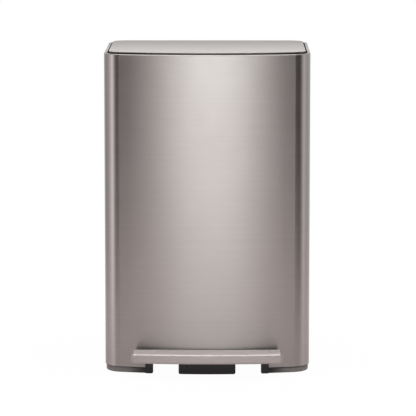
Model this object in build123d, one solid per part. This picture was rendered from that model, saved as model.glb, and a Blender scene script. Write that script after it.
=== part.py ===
"""Pedal trash can: bowed steel body, proud flat lid, foot pedal and lift-rod linkage (mm, +Z up)."""

import os
from math import atan2, cos, degrees, radians, sin, sqrt

from build123d import *

# Overall sizes
BODY_W = 411.0
BODY_D = 318.0
TOTAL_H = 646.0
PEDAL_REACH = 60.0

# Plan shape of the body
BOW_R = 760.0
FRONT_CORNER_R = 39.5
BACK_CORNER_R = 28.0
MIN_CORNER_R = 3.0

# Clearances, and how far cuts run past the faces they open
SEAT_GAP = 0.1
FIXED_FIT = 0.02
RUN_FIT = 0.05
SLIDE_FIT = 0.08
BEARING_GAP = 0.5
STOP_GAP = 0.4
OVERCUT = 1.0

# Steel body
SHEET = 0.8
RIM_DROP = 4.0
RIM_W = 6.0
RIM_EDGE_R = 2.0
RIM_RETURN = 4.0
SEAM_X = 9.0
SEAM_W = 0.6
SEAM_DEPTH = 0.35

# Moulded base
BASE_Z = 1.5
SKIRT_H = 10.5
SKIRT_INSET = 2.0
SKIRT_EDGE_R = 3.0
GROOVE_H = 2.0
GROOVE_INSET = 3.4
BASE_WALL = 4.0
DECK_T = 3.0
DECK_CLEAR = 3.4
BAY_MARGIN = 16.0
BAY_HEAD = 3.5
BAY_INSET = 1.0
BAY_GAP = 0.5
BAY_DEPTH = 50.0
NOTCH_GAP = 10.5
NOTCH_HEAD = 4.5
NOTCH_DEPTH = 40.0
NOTCH_R = 4.0
RIB_T = 2.5
RIB_H = 34.0
RIB_CLEAR = 9.0
RIB_STEPS = (24.0, 78.0)
RIB_START = 20.0
FOOT_R = 12.0
FOOT_H = 4.5
FOOT_EDGE_R = 1.0
FOOT_BOSS_R = 15.0
FOOT_BOSS_LIFT = 0.5
FOOT_SIDE = 35.5
FOOT_FRONT = 72.0
FOOT_BACK = 34.0

# Top collar and bucket
COLLAR_WALL = 2.6
COLLAR_DEPTH = 35.0
LEDGE_DROP = 22.5
LEDGE_T = 3.5
LEDGE_GAP = 1.5
BUCKET_INSET = 15.0
BUCKET_BACK_GAP = 8.0
BUCKET_TAPER = 10.0
BUCKET_WALL = 2.2
BUCKET_FLOOR = 2.6
BUCKET_BACK_R = 35.0
BUCKET_RIM_T = 2.4
BUCKET_RIM_W = 10.0
BUCKET_BACK_RIM = 5.0
BUCKET_LIFT = 2.0
BUCKET_EDGE_R = 9.0
GRIP_L = 96.0
GRIP_H = 26.0
GRIP_DROP = 26.0

# Lid and hinge
LID_GAP = 3.5
LID_EDGE = 1.4
LID_EDGE_R = 0.7
LID_REAR_R = 23.0
LID_ANGLE = 85.0
HINGE_R = 8.0
HINGE_ROD_R = 2.5
WRAP_END = 50.0
TRAY_INSET = 1.1
TRAY_H = 15.0
TRAY_WALL = 2.4
TRAY_REAR_GAP = 1.5
TRAY_RIB_STEP = 60.0
TRAY_RIBS = 5
KNUCKLE_SKIN_GAP = 0.2
KNUCKLE_END = 6.0
CRANK_SIDE_GAP = 5.0
BOSS_X = 95.0
BOSS_W = 22.0
BOSS_GAP = 4.0
BOSS_SKIN_GAP = 0.8
BOSS_BACK = 4.4
BUSH_L = 12.0
BUSH_WALL = 1.5
BUSH_FLANGE = 1.2
FLANGE_LIP = 2.5
HINGE_CAP_T = 3.0
BUMPER_R = 4.0
BUMPER_EDGE_R = 1.0
BUMPER_SEAT = 1.6
BUMPER_SIDE = 1.0
BUMPER_FRONT = 78.0
BUMPER_BACK = 90.0

# Lift rod and the crank it pushes
CRANK_R = 17.0
PIN_DROP = 17.6
ROD_R = 3.0
PIN_R = 2.5
PIN_HEAD_R = 4.4
PIN_HEAD_T = 1.6
EYE_R = 4.6
LOWER_EYE_R = 6.0
EYE_HALF = 4.0
CHEEK_GAP = 0.6
CHEEK_T = 3.0
CAM_CLEAR = 0.45
CAM_STEPS = 18
CRANK_EDGE = 3.0
CRANK_CORNER = 4.0
CRANK_PLATE_T = 2.2
CRANK_PLATE_L = 15.0
CRANK_PLATE_GAP = 5.0
CRANK_HALF_W = 15.0
CRANK_SCREW_X = 11.0
WELL_GAP = 1.3
ROD_SLOT_GAP = 6.0

# Cover over the rod, guides and damper
COVER_HALF_W = 40.0
COVER_REACH = 25.0
COVER_WALL = 2.2
COVER_EAR = 15.0
GUIDE_HALF_W = 11.0
GUIDE_H = 16.0
GUIDE_WALL = 5.0
GUIDE_RISE = 39.0
GUIDE_DROP = 56.0
DAMPER_X = 24.0
DAMPER_BACK = 4.5
DAMPER_R = 8.0
DAMPER_BORE = 6.6
DAMPER_CAP = 4.0
DAMPER_RISE = 119.0
DAMPER_L = 120.0
PISTON_R = 2.5
PISTON_H = 8.0
PISTON_RISE = 30.0
PISTON_OUT = 50.0
PISTON_OVER = 3.0
SADDLE_H = 14.0
SADDLE_INSET = 10.0
SADDLE_RIM = 2.0
TIE_T = 6.0
TIE_W = 13.2

# Pedal
PEDAL_HALF_W = 150.0
PEDAL_TOP = 53.0
PEDAL_H = 19.5
PEDAL_FRONT_R = 1250.0
PEDAL_GAP = 5.0
PEDAL_SHEET = 1.0
PEDAL_LOW_R = 7.0
PEDAL_TOP_R = 5.0
PEDAL_NOSE_R = 4.4
PEDAL_HEM = 7.0
CORE_RIB = 3.0
CORE_NOSE = 10.0
CORE_SHRINK = 0.2
PEDAL_SCREW_STEP = 10.0

# Lever and axle under the deck
PIVOT_BACK = 113.0
PIVOT_Z = 34.0
AXLE_R = 4.0
AXLE_OVER = 4.0
ARM_X = 82.5
ARM_HALF_W = 15.0
ARM_BURY = 4.0
ARM_H = 13.0
ARM_SLIM = 5.5
ARM_TAPER = (5.0, 40.0)
LEVER_WALL = 2.5
HUB_WALL = 2.95
CROSS_START = 24.0
CROSS_W = 22.0
TONGUE_T = 3.0
TONGUE_END_R = 8.0
TONGUE_WEB_STOP = 26.0
TONGUE_SLOT = 2.0
HANGER_T = 14.0
HANGER_SIDE = 13.0
CAP_WALL = 3.0
CLIP_T = 1.2
CLIP_W = 3.0
CLIP_GROOVE = 0.8
CLIP_NIP = 0.2

# Screws
SCREW_R = 1.75
SCREW_HEAD_R = 3.5
SCREW_HEAD_H = 2.2
SCREW_HEAD_EDGE_R = 1.0
SCREW_CROSS_L = 4.0
SCREW_CROSS_W = 0.9
SCREW_CROSS_DEPTH = 1.3
SCREW_BITE = 8.0
SCREW_SPARE = 1.0

# Levels and places that follow from the sizes above
HALF_W = BODY_W / 2
Y_FRONT = (PEDAL_REACH - BODY_D) / 2
Y_BACK = Y_FRONT + BODY_D
SHELL_Z = BASE_Z + SKIRT_H + GROOVE_H
RIM_Z = TOTAL_H - RIM_DROP
LID_INSET = RIM_W + LID_GAP
LID_STRAIGHT = HALF_W - LID_INSET - LID_REAR_R
HINGE_Y = Y_BACK - LID_INSET - HINGE_R
HINGE_Z = TOTAL_H - HINGE_R
KNUCKLE_R = HINGE_R - SHEET - KNUCKLE_SKIN_GAP
BOSS_R = HINGE_R - SHEET - BOSS_SKIN_GAP
BOSS_SPAN = (BOSS_X - BOSS_W / 2, BOSS_X + BOSS_W / 2)
INNER_KNUCKLE = (CRANK_HALF_W + CRANK_SIDE_GAP, BOSS_SPAN[0] - BOSS_GAP)
OUTER_KNUCKLE = (BOSS_SPAN[1] + BOSS_GAP, LID_STRAIGHT - KNUCKLE_END)
KNUCKLES = (INNER_KNUCKLE, OUTER_KNUCKLE)
HINGE_BUSH_R = HINGE_ROD_R + RUN_FIT + BUSH_WALL
TRAY_REAR = HINGE_R + TRAY_REAR_GAP
TRAY_Z = TOTAL_H - SHEET - TRAY_H
ROD_Y = HINGE_Y - CRANK_R
LID_TURN = radians(LID_ANGLE)
ROD_TRAVEL = CRANK_R * LID_TURN
PIN_Z = HINGE_Z - PIN_DROP
PIN_REACH = EYE_HALF + CHEEK_GAP + CHEEK_T + BEARING_GAP
WELL_HALF_W = PIN_REACH + PIN_HEAD_T + WELL_GAP
COLLAR_INSET = SHEET + SEAT_GAP
COLLAR_LOW = RIM_Z - COLLAR_DEPTH
COLLAR_TOP = RIM_Z - RIM_EDGE_R - SEAT_GAP
LEDGE_TOP = TOTAL_H - LEDGE_DROP
LEDGE_LOW = LEDGE_TOP - LEDGE_T
BUCKET_RIM_Z = LEDGE_TOP + BUCKET_RIM_T + SEAT_GAP
COVER_Y = ROD_Y - COVER_REACH
BUCKET_BACK = COVER_Y - BUCKET_BACK_GAP
PEDAL_BACK = Y_FRONT - PEDAL_GAP
PEDAL_NOSE = Y_FRONT - PEDAL_REACH
PEDAL_LOW = PEDAL_TOP - PEDAL_H
PIVOT_Y = Y_FRONT + PIVOT_BACK
LOW_PIN_Z = PIVOT_Z - ROD_TRAVEL / 2
DECK_LOW = PIVOT_Z + ROD_TRAVEL / 2 + TONGUE_END_R + DECK_CLEAR
DECK_TOP = DECK_LOW + DECK_T
AXLE_BUSH_R = AXLE_R + RUN_FIT + BUSH_WALL
HUB_R = AXLE_BUSH_R + HUB_WALL
HANGER_HALF = AXLE_R + HANGER_SIDE
CAP_H = AXLE_R + CAP_WALL
ARM_TOP = PEDAL_LOW + ARM_BURY
ARM_LOW = ARM_TOP - ARM_H
ARM_FRONT = PEDAL_NOSE + 2 * PEDAL_HEM
CROSS_Y = PIVOT_Y + CROSS_START
CROSS_BACK = CROSS_Y + CROSS_W
HANGER_REACH = ARM_HALF_W + BUSH_FLANGE + BEARING_GAP
HANGER_END = ARM_X + HANGER_REACH + HANGER_T
AXLE_END = HANGER_END + BEARING_GAP + CLIP_T + AXLE_OVER
NOTCH_IN = ARM_X - ARM_HALF_W - NOTCH_GAP
NOTCH_OUT = ARM_X + ARM_HALF_W + NOTCH_GAP
NOTCH_TOP = ARM_TOP + NOTCH_HEAD
BAY_HALF_W = NOTCH_OUT + BAY_MARGIN
BAY_TOP = NOTCH_TOP + BAY_HEAD
GUIDE_ZS = (DECK_TOP + GUIDE_RISE, LEDGE_LOW - GUIDE_DROP)
DAMPER_Y = ROD_Y + DAMPER_BACK
DAMPER_Z = DECK_TOP + DAMPER_RISE
DAMPER_TOP = DAMPER_Z + DAMPER_L
TIE_Z = DAMPER_TOP + PISTON_OUT
SIDES = (-1, 1)


def plan(inset, back_y=None, back_r=None):
    """Body outline moved inwards: bowed front, round front corners, straight sides and back."""
    half = HALF_W - inset
    bow = BOW_R - inset
    front_r = max(FRONT_CORNER_R - inset, MIN_CORNER_R)
    back_r = max(BACK_CORNER_R - inset, MIN_CORNER_R) if back_r is None else back_r
    back_y = Y_BACK - inset if back_y is None else back_y
    front_y = Y_FRONT + inset
    bow_y = front_y + bow
    corner_x = half - front_r
    corner_y = bow_y - sqrt((bow - front_r) ** 2 - corner_x ** 2)
    stretch = bow / (bow - front_r)
    touch = (corner_x * stretch, bow_y - (bow_y - corner_y) * stretch)
    middle = atan2(touch[1] - corner_y, touch[0] - corner_x) / 2
    bulge = (corner_x + front_r * cos(middle), corner_y + front_r * sin(middle))
    slant = back_r * (1 - sqrt(0.5))
    back_bulge = (half - slant, back_y - slant)
    right = [
        ThreePointArc(touch, bulge, (half, corner_y)),
        Line((half, corner_y), (half, back_y - back_r)),
        ThreePointArc((half, back_y - back_r), back_bulge, (half - back_r, back_y)),
    ]
    left = [mirror(edge, Plane.YZ) for edge in right]
    front = ThreePointArc((-touch[0], touch[1]), (0, front_y), touch)
    back = Line((half - back_r, back_y), (back_r - half, back_y))
    return make_face([front, *right, back, *left])


def lid_plan(inset):
    """Lid outline moved inwards: it ends at the hinge line, with round rear corners."""
    return plan(LID_INSET + inset, HINGE_Y - inset, LID_REAR_R - inset)


def bucket_plan(inset):
    """Bucket outline moved inwards from its mouth, with a straight back in front of the rod cover."""
    return plan(BUCKET_INSET + inset, BUCKET_BACK - inset, BUCKET_BACK_R - inset)


def prism(face, low, high):
    return Pos(0, 0, low) * extrude(face, high - low)


def block(xs, ys, zs):
    size = [span[1] - span[0] for span in (xs, ys, zs)]
    centre = [(span[0] + span[1]) / 2 for span in (xs, ys, zs)]
    return Pos(*centre) * Box(*size)


def side_span(side, low, high):
    """X span on the right, or its mirror image on the left."""
    return (low, high) if side > 0 else (-high, -low)


def bar_x(xs, y, z, radius):
    return Pos((xs[0] + xs[1]) / 2, y, z) * Rot(0, 90, 0) * Cylinder(radius, xs[1] - xs[0])


def bar_y(x, ys, z, radius):
    return Pos(x, (ys[0] + ys[1]) / 2, z) * Rot(90, 0, 0) * Cylinder(radius, ys[1] - ys[0])


def bar_z(x, y, zs, radius):
    return Pos(x, y, (zs[0] + zs[1]) / 2) * Cylinder(radius, zs[1] - zs[0])


def plate_x(points, xs):
    """Plate across X, cut to a side profile of (y, z) points."""
    face = Plane.YZ * Polygon(*points, align=None)
    return Pos(xs[0], 0, 0) * extrude(face, xs[1] - xs[0], dir=(1, 0, 0))


def top_edges(part):
    return part.faces().sort_by(Axis.Z)[-1].edges()


def low_edges(part):
    return part.faces().sort_by(Axis.Z)[0].edges()


def group(pieces):
    return Compound(children=list(pieces))


def screw(length):
    """Pan-head screw standing on its point, with its head's seat at the origin and a cross recess on top."""
    head = bar_z(0, 0, (0, SCREW_HEAD_H), SCREW_HEAD_R)
    head = fillet(top_edges(head), SCREW_HEAD_EDGE_R)
    cross = Box(SCREW_CROSS_L, SCREW_CROSS_W, SCREW_CROSS_DEPTH)
    cross += Box(SCREW_CROSS_W, SCREW_CROSS_L, SCREW_CROSS_DEPTH)
    head -= Pos(0, 0, SCREW_HEAD_H - SCREW_CROSS_DEPTH / 2) * cross
    return head + bar_z(0, 0, (-length, 0), SCREW_R)


def screw_up(x, y, seat, length):
    """Screw pointing up, its head below the seat."""
    return Pos(x, y, seat) * Rot(180, 0, 0) * screw(length)


def screw_down(x, y, seat, length):
    """Screw pointing down, its head above the seat."""
    return Pos(x, y, seat) * screw(length)


def screw_back(x, z):
    """Screw through the front of the rod cover, pointing back."""
    return Pos(x, COVER_Y, z) * Rot(90, 0, 0) * screw(COVER_WALL + SCREW_BITE)


# Places that several pieces share
def hanger_spans():
    """X spans of the axle hangers, one on each side of each lever arm."""
    for side in SIDES:
        yield side_span(side, ARM_X + HANGER_REACH, HANGER_END)
        yield side_span(side, ARM_X - HANGER_REACH - HANGER_T, ARM_X - HANGER_REACH)


def foot_places():
    for side in SIDES:
        yield side * (HALF_W - FOOT_SIDE), Y_FRONT + FOOT_FRONT
        yield side * (HALF_W - FOOT_SIDE), Y_BACK - FOOT_BACK


def cap_screw_places():
    for xs in hanger_spans():
        for side in SIDES:
            yield (xs[0] + xs[1]) / 2, PIVOT_Y + side * (AXLE_R + HANGER_HALF) / 2


def ear_places():
    return [(side * (COVER_HALF_W + COVER_EAR / 2), ROD_Y) for side in SIDES]


def guide_screw_places():
    return [(side * GUIDE_HALF_W / 2, z + GUIDE_H / 2) for z in GUIDE_ZS for side in SIDES]


def saddle_zs():
    inset = DAMPER_CAP + SADDLE_INSET
    return [DAMPER_Z + inset, DAMPER_TOP - inset - SADDLE_H]


def saddle_screw_places():
    return [(DAMPER_X, z + SADDLE_H / 2) for z in saddle_zs()]


def bumper_places():
    x = HALF_W - LID_INSET - TRAY_INSET - BUMPER_R - BUMPER_SIDE
    return [(side * x, y) for side in SIDES for y in (Y_FRONT + BUMPER_FRONT, Y_BACK - BUMPER_BACK)]


def bush_spans():
    """X spans of each hinge bush and its flange, one bush at each end of each knuckle."""
    for low, high in KNUCKLES:
        for side in SIDES:
            yield side_span(side, low, low + BUSH_L), side_span(side, low - BUSH_FLANGE, low)
            yield side_span(side, high - BUSH_L, high), side_span(side, high, high + BUSH_FLANGE)


def crank_plate_ys():
    """Y span of the crank's fixing plate, in front of the room the rod's eye needs."""
    back = HINGE_Y - CRANK_R - EYE_R - CRANK_PLATE_GAP
    return back - CRANK_PLATE_L, back


def crank_screw_places():
    return [(side * CRANK_SCREW_X, sum(crank_plate_ys()) / 2) for side in SIDES]


def pedal_screw_places():
    middle = (ARM_FRONT + PEDAL_BACK) / 2
    return [(side * ARM_X, middle + end * PEDAL_SCREW_STEP) for side in SIDES for end in SIDES]


# Steel body
def make_body_shell():
    skin = prism(plan(0), SHELL_Z, RIM_Z)
    skin = fillet(top_edges(skin), RIM_EDGE_R)
    hollow = prism(plan(SHEET), SHELL_Z - OVERCUT, RIM_Z - SHEET)
    hollow = fillet(top_edges(hollow), RIM_EDGE_R - SHEET)
    hem = prism(plan(RIM_W - SHEET), RIM_Z - RIM_RETURN, RIM_Z - SHEET)
    mouth = prism(plan(RIM_W), RIM_Z - RIM_RETURN - OVERCUT, RIM_Z + OVERCUT)
    bay = block((-BAY_HALF_W, BAY_HALF_W), (Y_FRONT - OVERCUT, Y_FRONT + BAY_DEPTH), (0, BAY_TOP))
    seam_ys = (Y_BACK - SEAM_DEPTH, Y_BACK + OVERCUT)
    seam = block((SEAM_X, SEAM_X + SEAM_W), seam_ys, (0, RIM_Z - RIM_EDGE_R))
    return skin - hollow + hem - mouth - bay - seam


# Moulded base
def notch_profile(side):
    """Open-bottomed slot for a lever arm, flared where it meets the skirt's lower edge."""
    low = BASE_Z + NOTCH_R
    bend = NOTCH_R * (1 - sqrt(0.5))
    near = NOTCH_IN - NOTCH_R
    far = NOTCH_OUT + NOTCH_R
    edges = [
        ThreePointArc((near, BASE_Z), (NOTCH_IN - bend, BASE_Z + bend), (NOTCH_IN, low)),
        Line((NOTCH_IN, low), (NOTCH_IN, NOTCH_TOP)),
        Line((NOTCH_IN, NOTCH_TOP), (NOTCH_OUT, NOTCH_TOP)),
        Line((NOTCH_OUT, NOTCH_TOP), (NOTCH_OUT, low)),
        ThreePointArc((NOTCH_OUT, low), (NOTCH_OUT + bend, BASE_Z + bend), (far, BASE_Z)),
        Line((far, BASE_Z), (far, 0)),
        Line((far, 0), (near, 0)),
        Line((near, 0), (near, BASE_Z)),
    ]
    face = make_face(edges)
    return face if side > 0 else mirror(face, Plane.YZ)


def base_inner_form():
    """Ribs, foot bosses and axle hangers that hang from the deck."""
    zs = (DECK_LOW - RIB_H, DECK_LOW)
    form = Part()
    for side in SIDES:
        rib_x = AXLE_END + RIB_CLEAR
        form += block(side_span(side, rib_x, rib_x + RIB_T), (Y_FRONT, Y_BACK), zs)
        for step in RIB_STEPS:
            rib_y = CROSS_BACK + step
            form += block(side_span(side, RIB_START, HALF_W), (rib_y, rib_y + RIB_T), zs)
    for x, y in foot_places():
        form += bar_z(x, y, (BASE_Z + FOOT_BOSS_LIFT, DECK_LOW), FOOT_BOSS_R)
    for xs in hanger_spans():
        form += block(xs, (PIVOT_Y - HANGER_HALF, PIVOT_Y + HANGER_HALF), (PIVOT_Z, DECK_LOW))
    return form


def make_base():
    inner = plan(SKIRT_INSET + BASE_WALL)
    skirt = prism(plan(SKIRT_INSET), BASE_Z, BASE_Z + SKIRT_H)
    base = fillet(low_edges(skirt), SKIRT_EDGE_R)
    base += prism(plan(GROOVE_INSET), BASE_Z + SKIRT_H, SHELL_Z)
    base += prism(plan(SHEET + SEAT_GAP), SHELL_Z, DECK_TOP)
    bay_half = BAY_HALF_W - BAY_GAP
    bay_ys = (Y_FRONT, Y_FRONT + BAY_DEPTH)
    bay = prism(plan(BAY_INSET), BASE_Z, BAY_TOP)
    base += bay & block((-bay_half, bay_half), bay_ys, (BASE_Z, BAY_TOP - BAY_GAP))
    base -= prism(inner, 0, DECK_LOW)
    base += base_inner_form() & prism(inner, BASE_Z, DECK_LOW)
    base -= bar_x((-HANGER_END, HANGER_END), PIVOT_Y, PIVOT_Z, AXLE_R + FIXED_FIT)
    for x, y in foot_places():
        base -= bar_z(x, y, (0, FOOT_H), FOOT_R + SEAT_GAP)
        base -= bar_z(x, y, (FOOT_H, FOOT_H + SCREW_BITE), SCREW_R)
    for x, y in cap_screw_places():
        base -= bar_z(x, y, (PIVOT_Z, PIVOT_Z + SCREW_BITE), SCREW_R)
    for x, y in ear_places():
        base -= bar_z(x, y, (DECK_LOW, DECK_TOP), SCREW_R)
    slot_ys = (ROD_Y - LOWER_EYE_R - ROD_SLOT_GAP, ROD_Y + LOWER_EYE_R + ROD_SLOT_GAP)
    base -= block((-WELL_HALF_W, WELL_HALF_W), slot_ys, (DECK_LOW - OVERCUT, DECK_TOP + OVERCUT))
    for side in SIDES:
        notch = extrude(Plane.XZ * notch_profile(side), NOTCH_DEPTH, both=True)
        base -= Pos(0, Y_FRONT, 0) * notch
    return base


def make_rubber_feet():
    feet = []
    for x, y in foot_places():
        pad = bar_z(x, y, (0, FOOT_H), FOOT_R)
        pad = fillet(low_edges(pad), FOOT_EDGE_R)
        pad -= bar_z(x, y, (0, FOOT_H), SCREW_R)
        feet.append(pad - bar_z(x, y, (0, FOOT_H / 2), SCREW_HEAD_R + SEAT_GAP))
    return group(feet)


def make_foot_screws():
    return group(screw_up(x, y, FOOT_H / 2, FOOT_H / 2 + SCREW_BITE) for x, y in foot_places())


# Top collar and inner bucket
def make_top_collar():
    collar = prism(plan(COLLAR_INSET), COLLAR_LOW, COLLAR_TOP)
    collar -= prism(plan(COLLAR_INSET + COLLAR_WALL), COLLAR_LOW - OVERCUT, RIM_Z)
    ledge = prism(plan(COLLAR_INSET), LEDGE_LOW, LEDGE_TOP)
    collar += ledge - prism(bucket_plan(-LEDGE_GAP), LEDGE_LOW - OVERCUT, LEDGE_TOP + OVERCUT)
    for side in SIDES:
        xs = side_span(side, *BOSS_SPAN)
        collar += bar_x(xs, HINGE_Y, HINGE_Z, BOSS_R)
        collar += block(xs, (HINGE_Y - BOSS_R, HINGE_Y + BOSS_BACK), (LEDGE_TOP, HINGE_Z))
    collar -= bar_x((-BOSS_SPAN[1], BOSS_SPAN[1]), HINGE_Y, HINGE_Z, HINGE_ROD_R + FIXED_FIT)
    well_ys = (COVER_Y + COVER_WALL, HINGE_Y + HINGE_R)
    collar -= block((-WELL_HALF_W, WELL_HALF_W), well_ys, (LEDGE_LOW - OVERCUT, LEDGE_TOP + OVERCUT))
    for x, y in ear_places():
        collar -= bar_z(x, y, (LEDGE_LOW, LEDGE_TOP), SCREW_R)
    return collar


def bucket_form(inset, low, edge_r):
    """Tapered bucket form with a rounded bottom edge, up to the rim."""
    bottom = Pos(0, 0, low) * bucket_plan(BUCKET_TAPER + inset)
    top = Pos(0, 0, BUCKET_RIM_Z) * bucket_plan(inset)
    form = loft([bottom, top])
    return fillet(low_edges(form), edge_r)


def make_inner_bucket():
    floor_z = DECK_TOP + BUCKET_LIFT
    bucket = bucket_form(0, floor_z, BUCKET_EDGE_R)
    rim = plan(BUCKET_INSET - BUCKET_RIM_W, BUCKET_BACK + BUCKET_BACK_RIM, BUCKET_BACK_R)
    bucket += prism(rim, LEDGE_TOP + SEAT_GAP, BUCKET_RIM_Z)
    bucket -= bucket_form(BUCKET_WALL, floor_z + BUCKET_FLOOR, BUCKET_EDGE_R - BUCKET_WALL)
    grip = extrude(Plane.YZ * SlotOverall(GRIP_L, GRIP_H), HALF_W, both=True)
    grip_y = (Y_FRONT + BUCKET_BACK + FRONT_CORNER_R) / 2
    return bucket - Pos(0, grip_y, BUCKET_RIM_Z - GRIP_DROP - GRIP_H / 2) * grip


# Hinge and lid
def make_hinge_rod():
    end = OUTER_KNUCKLE[1] + BUSH_FLANGE + BEARING_GAP + HINGE_CAP_T / 2
    return bar_x((-end, end), HINGE_Y, HINGE_Z, HINGE_ROD_R)


def make_hinge_caps():
    seat = OUTER_KNUCKLE[1] + BUSH_FLANGE + BEARING_GAP
    caps = []
    for side in SIDES:
        cap = bar_x(side_span(side, seat, seat + HINGE_CAP_T), HINGE_Y, HINGE_Z, HINGE_ROD_R + FLANGE_LIP)
        socket = side_span(side, seat, seat + HINGE_CAP_T / 2)
        caps.append(cap - bar_x(socket, HINGE_Y, HINGE_Z, HINGE_ROD_R))
    return group(caps)


def make_hinge_bushes():
    bushes = []
    for body, flange in bush_spans():
        bush = bar_x(body, HINGE_Y, HINGE_Z, HINGE_BUSH_R)
        bush += bar_x(flange, HINGE_Y, HINGE_Z, HINGE_ROD_R + FLANGE_LIP)
        bushes.append(bush - bar_x((-HALF_W, HALF_W), HINGE_Y, HINGE_Z, HINGE_ROD_R + RUN_FIT))
    return group(bushes)


def hinge_wrap_profile():
    """Curl of the lid sheet over the hinge, from the lid's top down to the wrap's end."""
    angles = [radians(90 + (WRAP_END - 90) * share) for share in (0, 0.5, 1)]
    outer, inner = [
        [(HINGE_Y + radius * cos(angle), HINGE_Z + radius * sin(angle)) for angle in angles]
        for radius in (HINGE_R, HINGE_R - SHEET)
    ]
    edges = [
        ThreePointArc(*outer),
        Line(outer[2], inner[2]),
        ThreePointArc(*reversed(inner)),
        Line(inner[0], outer[0]),
    ]
    return make_face(edges)


def make_lid_skin():
    skin = prism(lid_plan(0), TOTAL_H - LID_EDGE, TOTAL_H)
    hinge_edge = skin.edges().sort_by(Axis.Y)[-1].center().Y
    rim = [edge for edge in top_edges(skin) if edge.center().Y < hinge_edge - FIXED_FIT]
    skin = fillet(rim, LID_EDGE_R)
    under = (TOTAL_H - LID_EDGE - OVERCUT, TOTAL_H - SHEET)
    skin -= prism(lid_plan(SHEET), *under)
    open_half = LID_STRAIGHT - SHEET
    skin -= block((-open_half, open_half), (HINGE_Y - 2 * SHEET, HINGE_Y + OVERCUT), under)
    wrap = extrude(Plane.YZ * hinge_wrap_profile(), LID_STRAIGHT, both=True)
    return skin + wrap


def make_lid_tray():
    top = TOTAL_H - SHEET - FIXED_FIT
    rear = HINGE_Y - TRAY_REAR
    inset = LID_INSET + TRAY_INSET
    rear_r = LID_REAR_R - TRAY_REAR
    tray = prism(plan(inset, rear, rear_r), TRAY_Z, top)
    pocket = plan(inset + TRAY_WALL, rear - TRAY_WALL, rear_r - TRAY_WALL)
    hollow = prism(pocket, TRAY_Z + TRAY_WALL, top + OVERCUT)
    for count in range(TRAY_RIBS):
        x = (count - (TRAY_RIBS - 1) / 2) * TRAY_RIB_STEP
        hollow -= block((x - TRAY_WALL / 2, x + TRAY_WALL / 2), (Y_FRONT, HINGE_Y), (TRAY_Z, top))
    tray -= hollow
    for low, high in KNUCKLES:
        for side in SIDES:
            xs = side_span(side, low, high)
            tray += bar_x(xs, HINGE_Y, HINGE_Z, KNUCKLE_R)
            tray += block(xs, (rear, HINGE_Y), (HINGE_Z - KNUCKLE_R, HINGE_Z + KNUCKLE_R))
    tray -= bar_x((-HALF_W, HALF_W), HINGE_Y, HINGE_Z, HINGE_ROD_R + BUSH_WALL / 2)
    for body, flange in bush_spans():
        tray -= bar_x(body, HINGE_Y, HINGE_Z, HINGE_BUSH_R + FIXED_FIT)
    for x, y in bumper_places():
        tray -= bar_z(x, y, (TRAY_Z, TRAY_Z + BUMPER_SEAT), BUMPER_R + FIXED_FIT)
    for x, y in crank_screw_places():
        tray += bar_z(x, y, (TRAY_Z, TRAY_Z + SCREW_BITE), SCREW_HEAD_R)
        tray -= bar_z(x, y, (TRAY_Z, TRAY_Z + SCREW_BITE - SCREW_SPARE), SCREW_R)
    return tray


def make_lid_bumpers():
    buttons = []
    for x, y in bumper_places():
        button = bar_z(x, y, (BUCKET_RIM_Z + STOP_GAP, TRAY_Z + BUMPER_SEAT), BUMPER_R)
        buttons.append(fillet(low_edges(button), BUMPER_EDGE_R))
    return group(buttons)


# Crank under the lid
def cam_point(turn):
    """Place of the lift rod's pin as (y, z) from the hinge, seen from a lid turned this far."""
    rise = CRANK_R * turn - PIN_DROP
    across = -CRANK_R * cos(turn) - rise * sin(turn)
    return across, rise * cos(turn) - CRANK_R * sin(turn)


def make_lid_crank():
    points = [cam_point(LID_TURN * step / CAM_STEPS) for step in range(CAM_STEPS + 1)]
    radius = PIN_R + CAM_CLEAR
    edge = radius + CRANK_EDGE
    near = min(y for y, z in points) - edge
    far = max(y for y, z in points) + edge
    low = min(z for y, z in points) - edge
    high = max(z for y, z in points)
    top = TRAY_Z - HINGE_Z
    plate_low = top - CRANK_PLATE_T
    plate_front, plate_back = [y - HINGE_Y for y in crank_plate_ys()]
    shape = [
        (plate_front, top),
        (-TRAY_REAR - BEARING_GAP, top),
        (far, high),
        (far, low + CRANK_CORNER),
        (far - CRANK_CORNER, low),
        (near + CRANK_CORNER, low),
        (near, low + CRANK_CORNER),
        (plate_back, plate_low),
        (plate_front, plate_low),
    ]
    width = (-CRANK_HALF_W, CRANK_HALF_W)
    crank = block(width, (plate_front, plate_back), (plate_low, top))
    cheek = EYE_HALF + CHEEK_GAP
    for side in SIDES:
        crank += plate_x(shape, side_span(side, cheek, cheek + CHEEK_T))
    for (y0, z0), (y1, z1) in zip(points, points[1:]):
        step = sqrt((y1 - y0) ** 2 + (z1 - z0) ** 2)
        slope = degrees(atan2(z1 - z0, y1 - y0))
        slot = Rot(slope, 0, 0) * Box(2 * CRANK_HALF_W, step, 2 * radius)
        crank -= bar_x(width, y0, z0, radius)
        crank -= Pos(0, (y0 + y1) / 2, (z0 + z1) / 2) * slot
    crank -= bar_x(width, *points[-1], radius)
    crank = Pos(0, HINGE_Y, HINGE_Z) * crank
    for x, y in crank_screw_places():
        crank -= bar_z(x, y, (TRAY_Z - CRANK_PLATE_T, TRAY_Z), SCREW_R)
    return crank


def make_crank_screws():
    length = CRANK_PLATE_T + SCREW_BITE - 2 * SCREW_SPARE
    return group(screw_up(x, y, TRAY_Z - CRANK_PLATE_T, length) for x, y in crank_screw_places())


# Lift rod with its pins
def make_lift_rod():
    rod = bar_z(0, ROD_Y, (LOW_PIN_Z, PIN_Z), ROD_R)
    for z, radius in ((LOW_PIN_Z, LOWER_EYE_R), (PIN_Z, EYE_R)):
        rod += bar_x((-EYE_HALF, EYE_HALF), ROD_Y, z, radius)
        rod -= bar_x((-EYE_HALF, EYE_HALF), ROD_Y, z, PIN_R)
    return rod


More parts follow.
